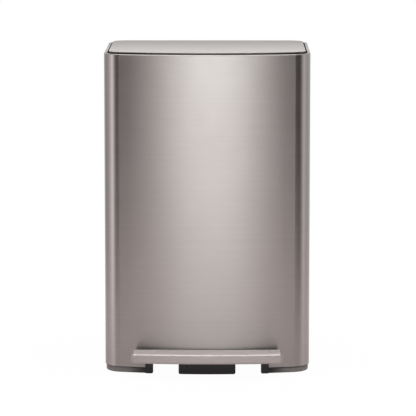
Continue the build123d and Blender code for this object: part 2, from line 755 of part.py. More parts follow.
def make_pin(z):
    pin = bar_x((-PIN_REACH, PIN_REACH + PIN_HEAD_T), ROD_Y, z, PIN_R)
    return pin + bar_x((-PIN_REACH - PIN_HEAD_T, -PIN_REACH), ROD_Y, z, PIN_HEAD_R)


def make_pin_washers():
    washers = []
    for z in (LOW_PIN_Z, PIN_Z):
        xs = (PIN_REACH, PIN_REACH + PIN_HEAD_T / 2)
        washers.append(bar_x(xs, ROD_Y, z, PIN_HEAD_R) - bar_x(xs, ROD_Y, z, PIN_R))
    return group(washers)


# Cover and guides of the lift rod
def make_channel_cover():
    half = COVER_HALF_W
    back = Y_BACK - SHEET - SEAT_GAP
    low = DECK_TOP + SEAT_GAP
    top = LEDGE_LOW - SEAT_GAP
    cover = block((-half, half), (COVER_Y, back), (low, top))
    cover -= block((COVER_WALL - half, half - COVER_WALL), (COVER_Y + COVER_WALL, back), (low, top))
    collar_ys = (back - COLLAR_WALL - SEAT_GAP, back)
    cover -= block((-half, half), collar_ys, (COLLAR_LOW - SEAT_GAP, top))
    for x, y in ear_places():
        xs = (x - COVER_EAR / 2, x + COVER_EAR / 2)
        for z in (low, top - COVER_WALL):
            cover += block(xs, (y - COVER_EAR / 2, y + COVER_EAR / 2), (z, z + COVER_WALL))
            cover -= bar_z(x, y, (z, z + COVER_WALL), SCREW_R)
    for x, z in guide_screw_places() + saddle_screw_places():
        cover -= bar_y(x, (COVER_Y, COVER_Y + COVER_WALL), z, SCREW_R)
    return cover


def make_cover_screws():
    low = DECK_TOP + SEAT_GAP + COVER_WALL
    high = LEDGE_LOW - SEAT_GAP - COVER_WALL
    screws = [screw_down(x, y, low, low - DECK_LOW) for x, y in ear_places()]
    return group(screws + [screw_up(x, y, high, LEDGE_TOP - high) for x, y in ear_places()])


def make_rod_guides():
    front = COVER_Y + COVER_WALL
    guides = []
    for z in GUIDE_ZS:
        ys = (front, ROD_Y + ROD_R + GUIDE_WALL)
        guide = block((-GUIDE_HALF_W, GUIDE_HALF_W), ys, (z, z + GUIDE_H))
        guide -= bar_z(0, ROD_Y, (z, z + GUIDE_H), ROD_R + SLIDE_FIT)
        for side in SIDES:
            guide -= bar_y(side * GUIDE_HALF_W / 2, (front, front + SCREW_BITE), z + GUIDE_H / 2, SCREW_R)
        guides.append(guide)
    return group(guides)


# Quiet-close damper
def make_damper_cylinder():
    tube = bar_z(DAMPER_X, DAMPER_Y, (DAMPER_Z, DAMPER_TOP), DAMPER_R)
    tube -= bar_z(DAMPER_X, DAMPER_Y, (DAMPER_Z + DAMPER_CAP, DAMPER_TOP - DAMPER_CAP), DAMPER_BORE)
    return tube - bar_z(DAMPER_X, DAMPER_Y, (DAMPER_TOP - DAMPER_CAP, DAMPER_TOP), PISTON_R + SLIDE_FIT)


def make_damper_saddles():
    front = COVER_Y + COVER_WALL
    reach = DAMPER_R + SADDLE_RIM
    saddles = []
    for z in saddle_zs():
        zs = (z, z + SADDLE_H)
        saddle = block((DAMPER_X - reach, DAMPER_X + reach), (front, DAMPER_Y + SADDLE_RIM), zs)
        saddle -= bar_z(DAMPER_X, DAMPER_Y, zs, DAMPER_R + FIXED_FIT)
        saddles.append(saddle - bar_y(DAMPER_X, (front, front + SCREW_BITE), z + SADDLE_H / 2, SCREW_R))
    return group(saddles)


def make_damper_piston():
    low = DAMPER_Z + PISTON_RISE
    piston = bar_z(DAMPER_X, DAMPER_Y, (low, low + PISTON_H), DAMPER_BORE - SLIDE_FIT)
    return piston + bar_z(DAMPER_X, DAMPER_Y, (low, TIE_Z + TIE_T + PISTON_OVER), PISTON_R)


def make_damper_arm():
    reach = sqrt(DAMPER_X ** 2 + DAMPER_BACK ** 2)
    turn = degrees(atan2(DAMPER_BACK, DAMPER_X))
    arm = extrude(SlotCenterToCenter(reach, TIE_W), TIE_T)
    arm = Pos(DAMPER_X / 2, ROD_Y + DAMPER_BACK / 2, TIE_Z) * Rot(0, 0, turn) * arm
    arm -= bar_z(0, ROD_Y, (TIE_Z, TIE_Z + TIE_T), ROD_R)
    return arm - bar_z(DAMPER_X, DAMPER_Y, (TIE_Z, TIE_Z + TIE_T), PISTON_R)


# Pedal
def pedal_form(shrink, back):
    """Foot-plate form: curved nose in plan, round corners seen from the front."""
    half = PEDAL_HALF_W - shrink
    radius = PEDAL_FRONT_R - shrink
    nose = PEDAL_NOSE + shrink
    end_y = nose + radius - sqrt(radius ** 2 - half ** 2)
    edges = [
        ThreePointArc((-half, end_y), (0, nose), (half, end_y)),
        Line((half, end_y), (half, back)),
        Line((half, back), (-half, back)),
        Line((-half, back), (-half, end_y)),
    ]
    form = prism(make_face(edges), PEDAL_LOW + shrink, PEDAL_TOP - shrink)
    middle = (PEDAL_LOW + PEDAL_TOP) / 2
    form = fillet([e for e in form.edges().filter_by(Axis.Y) if e.center().Z < middle], PEDAL_LOW_R - shrink)
    high = form.edges().filter_by(Axis.Y).group_by(Axis.Z)[-1]
    return fillet(high, PEDAL_TOP_R - shrink)


def round_nose(form, radius):
    return fillet(form.faces().sort_by(Axis.Y)[0].edges(), radius)


def make_pedal_tread():
    outer = round_nose(pedal_form(0, PEDAL_BACK), PEDAL_NOSE_R)
    inner = round_nose(pedal_form(PEDAL_SHEET, Y_FRONT), PEDAL_NOSE_R - PEDAL_SHEET)
    half = PEDAL_HALF_W - PEDAL_HEM
    window_zs = (PEDAL_LOW - OVERCUT, PEDAL_LOW + PEDAL_SHEET + OVERCUT)
    window = block((-half, half), (ARM_FRONT, Y_FRONT), window_zs)
    return outer - inner - window


def make_pedal_core():
    shrink = PEDAL_SHEET + CORE_SHRINK
    front = PEDAL_NOSE + PEDAL_SHEET + PEDAL_NOSE_R
    core = round_nose(pedal_form(shrink, PEDAL_BACK), PEDAL_NOSE_R - shrink)
    core &= block((-PEDAL_HALF_W, PEDAL_HALF_W), (front, Y_FRONT), (0, PEDAL_TOP))
    arm_half = ARM_HALF_W + SEAT_GAP
    pocket_ys = (front + CORE_NOSE, PEDAL_BACK - CORE_RIB)
    pocket_zs = (PEDAL_LOW, PEDAL_TOP - shrink - CORE_RIB)
    outer_pocket = (ARM_X + arm_half + CORE_RIB, PEDAL_HALF_W - PEDAL_HEM - CORE_RIB)
    inner_pocket = (CORE_RIB / 2, ARM_X - arm_half - CORE_RIB)
    for side in SIDES:
        for span in (outer_pocket, inner_pocket):
            core -= block(side_span(side, *span), pocket_ys, pocket_zs)
        xs = side_span(side, ARM_X - arm_half, ARM_X + arm_half)
        core -= block(xs, (ARM_FRONT - SEAT_GAP, Y_FRONT), (PEDAL_LOW, ARM_TOP + SEAT_GAP))
    for x, y in pedal_screw_places():
        core -= bar_z(x, y, (ARM_TOP, ARM_TOP + SCREW_BITE), SCREW_R)
    return core


def make_pedal_screws():
    length = LEVER_WALL + SCREW_BITE - SCREW_SPARE
    return group(screw_up(x, y, ARM_TOP - LEVER_WALL, length) for x, y in pedal_screw_places())


# Lever under the deck
def make_lever_arm(side):
    slim = ARM_TOP - ARM_SLIM
    shape = [
        (CROSS_BACK, ARM_TOP),
        (ARM_FRONT, ARM_TOP),
        (ARM_FRONT, slim),
        (Y_FRONT + ARM_TAPER[0], slim),
        (Y_FRONT + ARM_TAPER[1], ARM_LOW),
        (CROSS_BACK, ARM_LOW),
    ]
    xs = side_span(side, ARM_X - ARM_HALF_W, ARM_X + ARM_HALF_W)
    channel = (xs[0] + LEVER_WALL, xs[1] - LEVER_WALL)
    arm = plate_x(shape, xs)
    arm -= block(channel, (ARM_FRONT, CROSS_BACK), (0, ARM_TOP - LEVER_WALL))
    arm += bar_x(xs, PIVOT_Y, PIVOT_Z, HUB_R)
    arm -= bar_x(xs, PIVOT_Y, PIVOT_Z, AXLE_BUSH_R + FIXED_FIT)
    for x, y in pedal_screw_places():
        arm -= bar_z(x, y, (slim, ARM_TOP), SCREW_R)
    return arm


def make_lever_crossbar():
    half = ARM_X - ARM_HALF_W
    bar = block((-half, half), (CROSS_Y, CROSS_BACK), (ARM_LOW, ARM_TOP))
    channel = (CROSS_Y + LEVER_WALL, CROSS_BACK - LEVER_WALL)
    return bar - block((-half, half), channel, (ARM_LOW, ARM_TOP - LEVER_WALL))


def make_lever_tongue():
    end_low = LOW_PIN_Z - TONGUE_END_R
    end_top = LOW_PIN_Z + TONGUE_END_R
    inner = EYE_HALF + CHEEK_GAP
    outer = inner + TONGUE_T
    shape = [(CROSS_BACK, ARM_LOW), (CROSS_BACK, ARM_TOP), (ROD_Y, end_top), (ROD_Y, end_low)]
    tongue = block((-inner, inner), (CROSS_BACK, CROSS_BACK + LEVER_WALL), (ARM_LOW, ARM_TOP))
    for side in SIDES:
        xs = side_span(side, inner, outer)
        tongue += plate_x(shape, xs)
        tongue += bar_x(xs, ROD_Y, LOW_PIN_Z, TONGUE_END_R)
    web_y = ROD_Y - TONGUE_WEB_STOP
    web_z = ARM_TOP + (end_top - ARM_TOP) * (web_y - CROSS_BACK) / (ROD_Y - CROSS_BACK)
    web_top = [(CROSS_BACK, ARM_TOP), (web_y, web_z)]
    web_low = [(web_y, web_z - LEVER_WALL), (CROSS_BACK, ARM_TOP - LEVER_WALL)]
    tongue += plate_x(web_top + web_low, (-inner, inner))
    radius = PIN_R + BEARING_GAP
    slot = Box(2 * outer, TONGUE_SLOT, 2 * radius)
    for end in SIDES:
        slot += bar_x((-outer, outer), end * TONGUE_SLOT / 2, 0, radius)
    tilt = degrees(atan2(LOW_PIN_Z - PIVOT_Z, ROD_Y - PIVOT_Y))
    return tongue - Pos(0, ROD_Y, LOW_PIN_Z) * Rot(tilt, 0, 0) * slot


# Axle of the lever
def clip_span(side):
    return side_span(side, AXLE_END - AXLE_OVER - CLIP_T, AXLE_END - AXLE_OVER)


def make_pedal_axle():
    axle = bar_x((-AXLE_END, AXLE_END), PIVOT_Y, PIVOT_Z, AXLE_R)
    for side in SIDES:
        ring = bar_x(clip_span(side), PIVOT_Y, PIVOT_Z, AXLE_R + OVERCUT)
        axle -= ring - bar_x(clip_span(side), PIVOT_Y, PIVOT_Z, AXLE_R - CLIP_GROOVE)
    return axle


def make_axle_clips():
    neck = AXLE_R - CLIP_GROOVE
    mouth = neck - CLIP_NIP
    clips = []
    for side in SIDES:
        xs = clip_span(side)
        clip = bar_x(xs, PIVOT_Y, PIVOT_Z, AXLE_R + CLIP_W) - bar_x(xs, PIVOT_Y, PIVOT_Z, neck)
        opening = (PIVOT_Z - 2 * (AXLE_R + CLIP_W), PIVOT_Z)
        clips.append(clip - block(xs, (PIVOT_Y - mouth, PIVOT_Y + mouth), opening))
    return group(clips)


def make_axle_caps():
    caps = []
    for xs in hanger_spans():
        ys = (PIVOT_Y - HANGER_HALF, PIVOT_Y + HANGER_HALF)
        cap = block(xs, ys, (PIVOT_Z - CAP_H, PIVOT_Z - FIXED_FIT))
        cap -= bar_x(xs, PIVOT_Y, PIVOT_Z, AXLE_R + FIXED_FIT)
        for x, y in cap_screw_places():
            cap -= bar_z(x, y, (PIVOT_Z - CAP_H, PIVOT_Z), SCREW_R)
        caps.append(cap)
    return group(caps)


def make_axle_cap_screws():
    length = CAP_H + SCREW_BITE - SCREW_SPARE
    return group(screw_up(x, y, PIVOT_Z - CAP_H, length) for x, y in cap_screw_places())


def make_axle_bushes():
    bushes = []
    for side in SIDES:
        for end in SIDES:
            edge = ARM_X + end * ARM_HALF_W
            body = side_span(side, *sorted((edge, edge - end * BUSH_L)))
            flange = side_span(side, *sorted((edge, edge + end * BUSH_FLANGE)))
            bush = bar_x(body, PIVOT_Y, PIVOT_Z, AXLE_BUSH_R)
            bush += bar_x(flange, PIVOT_Y, PIVOT_Z, AXLE_BUSH_R + HUB_WALL / 2)
            bushes.append(bush - bar_x((-HALF_W, HALF_W), PIVOT_Y, PIVOT_Z, AXLE_R + RUN_FIT))
    return group(bushes)


PARTS = {
    "body_shell": make_body_shell(),
    "base": make_base(),
    "rubber_feet": make_rubber_feet(),
    "foot_screws": make_foot_screws(),
    "top_collar": make_top_collar(),
    "inner_bucket": make_inner_bucket(),
    "channel_cover": make_channel_cover(),
    "cover_screws": make_cover_screws(),
    "rod_guides": make_rod_guides(),
    "guide_screws": group(screw_back(x, z) for x, z in guide_screw_places()),
    "damper_cylinder": make_damper_cylinder(),
    "damper_saddles": make_damper_saddles(),
    "saddle_screws": group(screw_back(x, z) for x, z in saddle_screw_places()),
    "hinge_rod": make_hinge_rod(),
    "hinge_caps": make_hinge_caps(),
    "pedal_axle": make_pedal_axle(),
    "axle_caps": make_axle_caps(),
    "axle_cap_screws": make_axle_cap_screws(),
    "axle_clips": make_axle_clips(),
    "lid_skin": make_lid_skin(),
    "lid_tray": make_lid_tray(),
    "lid_crank": make_lid_crank(),
    "crank_screws": make_crank_screws(),
    "lid_bumpers": make_lid_bumpers(),
    "hinge_bushes": make_hinge_bushes(),
    "pedal_tread": make_pedal_tread(),
    "pedal_core": make_pedal_core(),
    "pedal_screws": make_pedal_screws(),
    "lever_arm_left": make_lever_arm(-1),
    "lever_arm_right": make_lever_arm(1),
    "lever_crossbar": make_lever_crossbar(),
    "lever_tongue": make_lever_tongue(),
    "axle_bushes": make_axle_bushes(),
    "lift_rod": make_lift_rod(),
    "upper_pin": make_pin(PIN_Z),
    "lower_pin": make_pin(LOW_PIN_Z),
    "pin_washers": make_pin_washers(),
    "damper_piston": make_damper_piston(),
    "damper_arm": make_damper_arm(),
}

os.makedirs("parts", exist_ok=True)
for name, part in PARTS.items():
    export_step(part, f"parts/{name}.step")
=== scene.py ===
import bmesh
import bpy
from mathutils import Matrix, Vector

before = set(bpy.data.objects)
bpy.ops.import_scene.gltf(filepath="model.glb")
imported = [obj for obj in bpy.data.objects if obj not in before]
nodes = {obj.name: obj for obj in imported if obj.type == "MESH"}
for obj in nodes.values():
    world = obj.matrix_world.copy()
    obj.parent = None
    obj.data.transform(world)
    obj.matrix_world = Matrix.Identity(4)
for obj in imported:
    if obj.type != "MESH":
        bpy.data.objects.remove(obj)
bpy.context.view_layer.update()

# Camera and floor, in metres
CAMERA_PLACE = (0.04, -5.5, 1.1255)
CAMERA_AIM = (0.0011, 0.0, 0.3194)
CAMERA_REACH = 60
SENSOR = 36.0
LENS = 236.8
FLOOR_WIDE = 1.65
FLOOR_ENDS = (-2.6, 1.15)

# Colours, linear
WHITE = (1, 1, 1, 1)
STEEL_PALE = (0.588, 0.559, 0.541, 1)
STEEL_DEEP = (0.528, 0.499, 0.484, 1)
PEDAL_PALE = (0.705, 0.647, 0.631, 1)
PEDAL_DEEP = (0.622, 0.570, 0.557, 1)
BLACK_PALE = (0.050, 0.048, 0.048, 1)
BLACK_DEEP = (0.032, 0.031, 0.031, 1)
# Painted highlight on the base skirt's corners, where light falls
SKIRT_PAINTED_LIGHT = (0.31, 0.30, 0.295, 1)
BUCKET_PALE = (0.175, 0.176, 0.184, 1)
BUCKET_DEEP = (0.130, 0.131, 0.138, 1)
ZINC_PALE = (0.66, 0.67, 0.68, 1)
ZINC_DEEP = (0.50, 0.52, 0.55, 1)
BRIGHT_PALE = (0.76, 0.76, 0.77, 1)
BRIGHT_DEEP = (0.62, 0.62, 0.64, 1)
SCREW_PALE = (0.70, 0.70, 0.71, 1)
SCREW_DEEP = (0.48, 0.48, 0.50, 1)
NYLON_PALE = (0.82, 0.81, 0.76, 1)
NYLON_DEEP = (0.70, 0.68, 0.62, 1)
DAMPER_PALE = (0.17, 0.18, 0.20, 1)
DAMPER_DEEP = (0.12, 0.13, 0.145, 1)
RUBBER_PALE = (0.034, 0.034, 0.034, 1)
RUBBER_DEEP = (0.019, 0.019, 0.019, 1)
FLOOR_PALE = (0.54, 0.43, 0.43, 1)
# Painted shade on the floor near the can
FLOOR_PAINTED_SHADE = (0.37, 0.30, 0.30, 1)

# Steel sheet: roughness, relief as strength and distance, and grain as lines a metre each way
STEEL = {"Metallic": 1.0, "Anisotropic": 0.9}
STEEL_ROUGH = (0.27, 0.35)
LID_ROUGH = (0.50, 0.58)
PEDAL_ROUGH = (0.36, 0.44)
STEEL_BUMP = (0.05, 0.0002)
BODY_BRUSH = (16, 16, 1500)
CROSS_BRUSH = (16, 1500, 1500)
QUARTER_TURN = 0.25

# Painted light and shade along a piece, from one place to another in metres: the lid painted darker at the back and
# paler at the front, the skirt painted paler round its corners
LID_PAINTED_LIGHT_ENDS = (-0.12, 0.17)
LID_PAINTED_LIGHT_LEVELS = (1.03, 0.62)
SKIRT_PAINTED_LIGHT_ENDS = (0.120, 0.165)

# Noise patterns, as scale, detail and roughness
SMUDGE_CLOUD = (7.0, 4.0, 0.62)
SMUDGE_DAB = (31.0, 3.0, 0.55)
BRUSH_FINE = (1.0, 3.0, 0.7)
BRUSH_BANDS = (0.7, 2.0, 0.6)
MOULD_FLOW = (9.0, 3.0, 0.55)
PLATE_BEND = (60.0, 2.0, 0.5)
PLATE_CLOUD = (22.0, 4.0, 0.6)
PLATE_PITS = (420.0, 3.0, 0.6)
SMUDGE_RANGE = (0.05, 0.50)
STREAK_RANGE = (0.3, 0.7)
BAND_STRETCH = (0.3, 0.3, 0.3)
FLAKE_SHIFT = (0.01, 0.01, 0.01)
FLAKE_SCALE = 170.0

# White of floor and backdrop: the share the camera sees and the share that metal mirrors
# From where the floor's painted shade near the can starts to fade to where it ends, in metres from the centre
FLOOR_PAINTED_SHADE_ENDS = (0.25, 0.75)
FLOOR_ROUGH = 0.9
FLOOR_GLOW = 1.03
FLOOR_SEEN = 0.95
FLOOR_MIRRORED = 0.25
BACKDROP_SEEN = 1.0
BACKDROP_MIRRORED = 0.01

# Studio surround, as direction, narrowness, strength, height where it fades, and tint: two low lights in
# front, two at each side, a pale wall behind and a weak light high in front
NEUTRAL = (0.975, 1.0, 0.985)
ROSY = (1.0, 0.94, 0.96)
ALL_ROUND = (2.0, 3.0)
LOW_FRONT = (0.0, 0.16)
HIGH_FRONT = (0.55, 0.20)
SOFT_LIGHTS = [
    ((-0.10, -1, 0), 55, 2.26, LOW_FRONT, NEUTRAL),
    ((0.145, -1, 0), 60, 2.20, LOW_FRONT, NEUTRAL),
    ((1, -0.10, 0), 25, 0.50, ALL_ROUND, ROSY),
    ((1, 0.325, 0), 8, 0.36, ALL_ROUND, ROSY),
    ((-1, -0.34, 0), 34, 0.79, ALL_ROUND, ROSY),
    ((-1, 0.05, 0), 9, 0.53, ALL_ROUND, ROSY),
    ((0, 1, 0), 2, 0.74, ALL_ROUND, NEUTRAL),
    ((0, -1, 0), 1, 0.22, HIGH_FRONT, NEUTRAL),
]

# A soft light straight above and a faint wash in front, as where they start, where they are full, and strength
OVERHEAD = (0.86, 0.97, 1.7)
FRONT_WASH = (0.88, 0.915, 0.100)

# Lamps above the can, as place, size, power in watts and whether metal mirrors them
LAMP_AIM = (0, 0, 0.2)
LAMPS = {
    "overhead_lamp": ((0.4, -0.9, 3.0), (2.4, 2.4), 44.0, False),
    "overhead_shine": ((0.0, -0.9, 3.0), (2.4, 1.6), 12.0, True),
}


def put(tree, socket, value):
    """Links a socket to another node's output, or sets its own value."""
    if isinstance(value, bpy.types.NodeSocket):
        tree.links.new(value, socket)
    else:
        socket.default_value = value


def add(tree, kind, inputs=None, **settings):
    """A shader node with its settings, and its inputs linked or set."""
    made = tree.nodes.new("ShaderNode" + kind)
    for name, value in settings.items():
        setattr(made, name, value)
    for name, value in (inputs or {}).items():
        put(tree, made.inputs[name], value)
    return made


def math_out(tree, operation, first, second):
    return add(tree, "Math", {0: first, 1: second}, operation=operation).outputs[0]


def vector_out(tree, operation, first, second):
    return add(tree, "VectorMath", {0: first, 1: second}, operation=operation).outputs[0]


def dot_out(tree, first, second):
    return add(tree, "VectorMath", {0: first, 1: second}, operation="DOT_PRODUCT").outputs["Value"]


def scale_out(tree, vector, scale):
    return add(tree, "VectorMath", {0: vector, "Scale": scale}, operation="SCALE").outputs[0]


def sum_out(tree, first, first_share, second, second_share):
    """Two values added, each by its share."""
    part = math_out(tree, "MULTIPLY", first, first_share)
    return math_out(tree, "ADD", part, math_out(tree, "MULTIPLY", second, second_share))


def ramp_out(tree, value, ends, levels=(0.0, 1.0), smooth=True):
    """A value that runs from the first level to the second as another runs between two ends."""
    inputs = {"Value": value, "From Min": ends[0], "From Max": ends[1], "To Min": levels[0], "To Max": levels[1]}
    kind = "SMOOTHSTEP" if smooth else "LINEAR"
    return add(tree, "MapRange", inputs, interpolation_type=kind).outputs[0]


def mix_out(tree, share, low, high):
    made = add(tree, "Mix", {"Factor": share}, data_type="RGBA")
    put(tree, made.inputs["A"], low)
    put(tree, made.inputs["B"], high)
    return made.outputs["Result"]


def noise(tree, vector, scale, detail, rough):
    inputs = {"Vector": vector, "Scale": scale, "Detail": detail, "Roughness": rough}
    return add(tree, "TexNoise", inputs)


def noise_out(tree, vector, scale, detail, rough):
    return noise(tree, vector, scale, detail, rough).outputs[0]


def place_out(tree):
    return add(tree, "TexCoord").outputs["Object"]


def new_group(name, inputs, outputs):
    """An empty shader node group with named sockets."""
    tree = bpy.data.node_groups.new(name, "ShaderNodeTree")
    for socket, kind, value in inputs:
        made = tree.interface.new_socket(socket, in_out="INPUT", socket_type="NodeSocket" + kind)
        if value is not None:
            made.default_value = value
    for socket, kind in outputs:
        tree.interface.new_socket(socket, in_out="OUTPUT", socket_type="NodeSocket" + kind)
    return tree, tree.nodes.new("NodeGroupInput").outputs, tree.nodes.new("NodeGroupOutput").inputs


FINISH_OUT = [("Color", "Color"), ("Roughness", "Float"), ("Height", "Float")]
FINISH_IN = [
    ("Vector", "Vector", None),
    ("Pale", "Color", WHITE),
    ("Deep", "Color", WHITE),
    ("Rough Low", "Float", 0.3),
    ("Rough High", "Float", 0.4),
]


def end_finish(tree, given, result, tone, worn, height):
    """Colour from deep to pale by tone, roughness from low to high by wear, and the relief."""
    put(tree, result["Color"], mix_out(tree, tone, given["Deep"], given["Pale"]))
    span = math_out(tree, "SUBTRACT", given["Rough High"], given["Rough Low"])
    wear = math_out(tree, "MULTIPLY", worn, span)
    put(tree, result["Roughness"], math_out(tree, "ADD", given["Rough Low"], wear))
    put(tree, result["Height"], height)


# Handling marks: soft cloudy smudges that dull a finish a little
def make_smudges():
    tree, given, result = new_group("smudges", [("Vector", "Vector", None)], [("Mask", "Float")])
    cloud = noise_out(tree, given["Vector"], *SMUDGE_CLOUD)
    dab = noise_out(tree, given["Vector"], *SMUDGE_DAB)
    both = math_out(tree, "MULTIPLY", cloud, dab)
    put(tree, result["Mask"], ramp_out(tree, both, SMUDGE_RANGE, smooth=False))
    return tree


# Brushed grain: long fine scratches along one direction
def make_brushed():
    tree, given, result = new_group("brushed_grain", FINISH_IN + [("Place", "Vector", None)], FINISH_OUT)
    fine = noise_out(tree, given["Vector"], *BRUSH_FINE)
    coarse = vector_out(tree, "MULTIPLY", given["Vector"], BAND_STRETCH)
    bands = noise_out(tree, coarse, *BRUSH_BANDS)
    streak = sum_out(tree, fine, 0.65, bands, 0.35)
    sharp = ramp_out(tree, streak, STREAK_RANGE, smooth=False)
    smudge = add(tree, "Group", {"Vector": given["Place"]}, node_tree=SMUDGES).outputs[0]
    worn = sum_out(tree, sharp, 0.5, smudge, 0.5)
    end_finish(tree, given, result, sharp, worn, streak)
    return tree


# Moulded grain: the fine pebbled skin of a plastic or rubber moulding
def make_moulded():
    tree, given, result = new_group("moulded_grain", FINISH_IN + [("Grain", "Float", 900.0)], FINISH_OUT)
    grain = {"Vector": given["Vector"], "Scale": given["Grain"]}
    cells = add(tree, "TexVoronoi", grain, feature="SMOOTH_F1").outputs["Distance"]
    speck = noise_out(tree, given["Vector"], given["Grain"], 2.0, 0.5)
    pebble = sum_out(tree, cells, 0.7, speck, 0.5)
    flow = noise_out(tree, given["Vector"], *MOULD_FLOW)
    smudge = add(tree, "Group", {"Vector": given["Vector"]}, node_tree=SMUDGES).outputs[0]
    tone = sum_out(tree, flow, 0.7, pebble, 0.3)
    worn = sum_out(tree, flow, 0.5, smudge, 0.5)
    end_finish(tree, given, result, tone, worn, pebble)
    return tree


# Plated steel: cloudy crystals of a zinc or nickel coat
def make_plated():
    tree, given, result = new_group("plated_coat", FINISH_IN, FINISH_OUT)
    bent = noise(tree, given["Vector"], *PLATE_BEND).outputs["Color"]
    shift = vector_out(tree, "MULTIPLY", bent, FLAKE_SHIFT)
    moved = vector_out(tree, "ADD", given["Vector"], shift)
    flakes = add(tree, "TexVoronoi", {"Vector": moved, "Scale": FLAKE_SCALE})
    crystal = add(tree, "SeparateColor", {0: flakes.outputs["Color"]}).outputs[0]
    cloud = noise_out(tree, given["Vector"], *PLATE_CLOUD)
    tone = sum_out(tree, crystal, 0.35, cloud, 0.65)
    pits = noise_out(tree, given["Vector"], *PLATE_PITS)
    end_finish(tree, given, result, tone, cloud, pits)
    return tree


SMUDGES = make_smudges()
BRUSHED = make_brushed()
MOULDED = make_moulded()
PLATED = make_plated()


def new_material(name):
    made = bpy.data.materials.new(name)
    made.use_nodes = True
    tree = made.node_tree
    tree.nodes.clear()
    shader = add(tree, "BsdfPrincipled")
    output = add(tree, "OutputMaterial")
    tree.links.new(shader.outputs[0], output.inputs["Surface"])
    return made, tree, shader, output


def finish_material(name, coat, pale, deep, rough, bump, scale=(1, 1, 1), grain=None, constants=None):
    """A material that takes colour, roughness and relief from one of the finish groups."""
    made, tree, shader, _ = new_material(name)
    place = place_out(tree)
    stretched = add(tree, "Mapping", {"Vector": place, "Scale": scale}).outputs[0]
    inputs = {"Vector": stretched, "Pale": pale, "Deep": deep, "Rough Low": rough[0], "Rough High": rough[1]}
    if grain:
        inputs["Grain"] = grain
    if coat == BRUSHED:
        inputs["Place"] = place
    finish = add(tree, "Group", inputs, node_tree=coat)
    put(tree, shader.inputs["Base Color"], finish.outputs["Color"])
    put(tree, shader.inputs["Roughness"], finish.outputs["Roughness"])
    relief = {"Height": finish.outputs["Height"], "Strength": bump[0], "Distance": bump[1]}
    put(tree, shader.inputs["Normal"], add(tree, "Bump", relief).outputs[0])
    for socket, value in (constants or {}).items():
        shader.inputs[socket].default_value = value
    return made, tree, shader


# Body steel is brushed level all the way round
def make_body_steel():
    made, tree, shader = finish_material("body_steel", BRUSHED, STEEL_PALE, STEEL_DEEP, STEEL_ROUGH, STEEL_BUMP,
                                         BODY_BRUSH, constants=STEEL)
    shader.inputs["Anisotropic Rotation"].default_value = QUARTER_TURN
    round_z = add(tree, "Tangent", direction_type="RADIAL", axis="Z")
    put(tree, shader.inputs["Tangent"], round_z.outputs[0])
    return made


# Lid and pedal steel is brushed from side to side
def make_cross_steel(name, pale, deep, rough):
    made, tree, shader = finish_material(name, BRUSHED, pale, deep, rough, STEEL_BUMP, CROSS_BRUSH, constants=STEEL)
    facing = add(tree, "NewGeometry").outputs["Normal"]
    put(tree, shader.inputs["Tangent"], vector_out(tree, "CROSS_PRODUCT", facing, (1, 0, 0)))
    return made, tree, shader


# The lid's colour is painted darker at the back and paler towards its front edge: painted shade and painted
# highlight
def make_lid_steel():
    made, tree, shader = make_cross_steel("lid_steel", STEEL_PALE, STEEL_DEEP, LID_ROUGH)
    depth = add(tree, "SeparateXYZ", {0: place_out(tree)}).outputs["Y"]
    # Painted light and shade: the colour is scaled darker at the back and paler at the front
    tone = ramp_out(tree, depth, LID_PAINTED_LIGHT_ENDS, LID_PAINTED_LIGHT_LEVELS, smooth=False)
    plain = shader.inputs["Base Color"].links[0].from_socket
    put(tree, shader.inputs["Base Color"], scale_out(tree, plain, tone))
    return made


# Base moulding: the skirt is painted paler round the corners, a painted highlight where light falls on them beside
# the pedal's shade
def make_base_plastic():
    made, tree, shader = finish_material("base_plastic", MOULDED, *PLASTICS["black_plastic"][:-1],
                                         grain=PLASTICS["black_plastic"][-1])
    across = add(tree, "SeparateXYZ", {0: place_out(tree)}).outputs["X"]
    side = math_out(tree, "ABSOLUTE", across, 0.0)
    plain = shader.inputs["Base Color"].links[0].from_socket
    # Painted highlight: the skirt's corners are mixed towards a paler colour
    put(tree, shader.inputs["Base Color"], mix_out(tree, ramp_out(tree, side, SKIRT_PAINTED_LIGHT_ENDS), plain, SKIRT_PAINTED_LIGHT))
    return made


# Plain finishes: two colours, roughness, relief, and the grain of a moulding
PLASTICS = {
    "black_plastic": (BLACK_PALE, BLACK_DEEP, (0.24, 0.36), (0.12, 0.0002), 900.0),
    "bucket_plastic": (BUCKET_PALE, BUCKET_DEEP, (0.50, 0.66), (0.18, 0.0003), 600.0),
    "white_nylon": (NYLON_PALE, NYLON_DEEP, (0.40, 0.52), (0.08, 0.0002), 1200.0),
    "damper_grey": (DAMPER_PALE, DAMPER_DEEP, (0.24, 0.36), (0.05, 0.0002), 1100.0),
    "rubber": (RUBBER_PALE, RUBBER_DEEP, (0.72, 0.86), (0.25, 0.0003), 1500.0),
}
PLATED_STEELS = {
    "zinc_steel": (ZINC_PALE, ZINC_DEEP, (0.28, 0.46), (0.10, 0.0002)),
    "bright_steel": (BRIGHT_PALE, BRIGHT_DEEP, (0.14, 0.26), (0.03, 0.0001)),
    "screw_steel": (SCREW_PALE, SCREW_DEEP, (0.22, 0.38), (0.06, 0.0001)),
}
finishes = {
    "body_steel": make_body_steel(),
    "lid_steel": make_lid_steel(),
    "pedal_steel": make_cross_steel("pedal_steel", PEDAL_PALE, PEDAL_DEEP, PEDAL_ROUGH)[0],
    "base_plastic": make_base_plastic(),
}
for name, (*looks, grain) in PLASTICS.items():
    finishes[name] = finish_material(name, MOULDED, *looks, grain=grain)[0]
for name, looks in PLATED_STEELS.items():
    finishes[name] = finish_material(name, PLATED, *looks, constants={"Metallic": 1.0})[0]

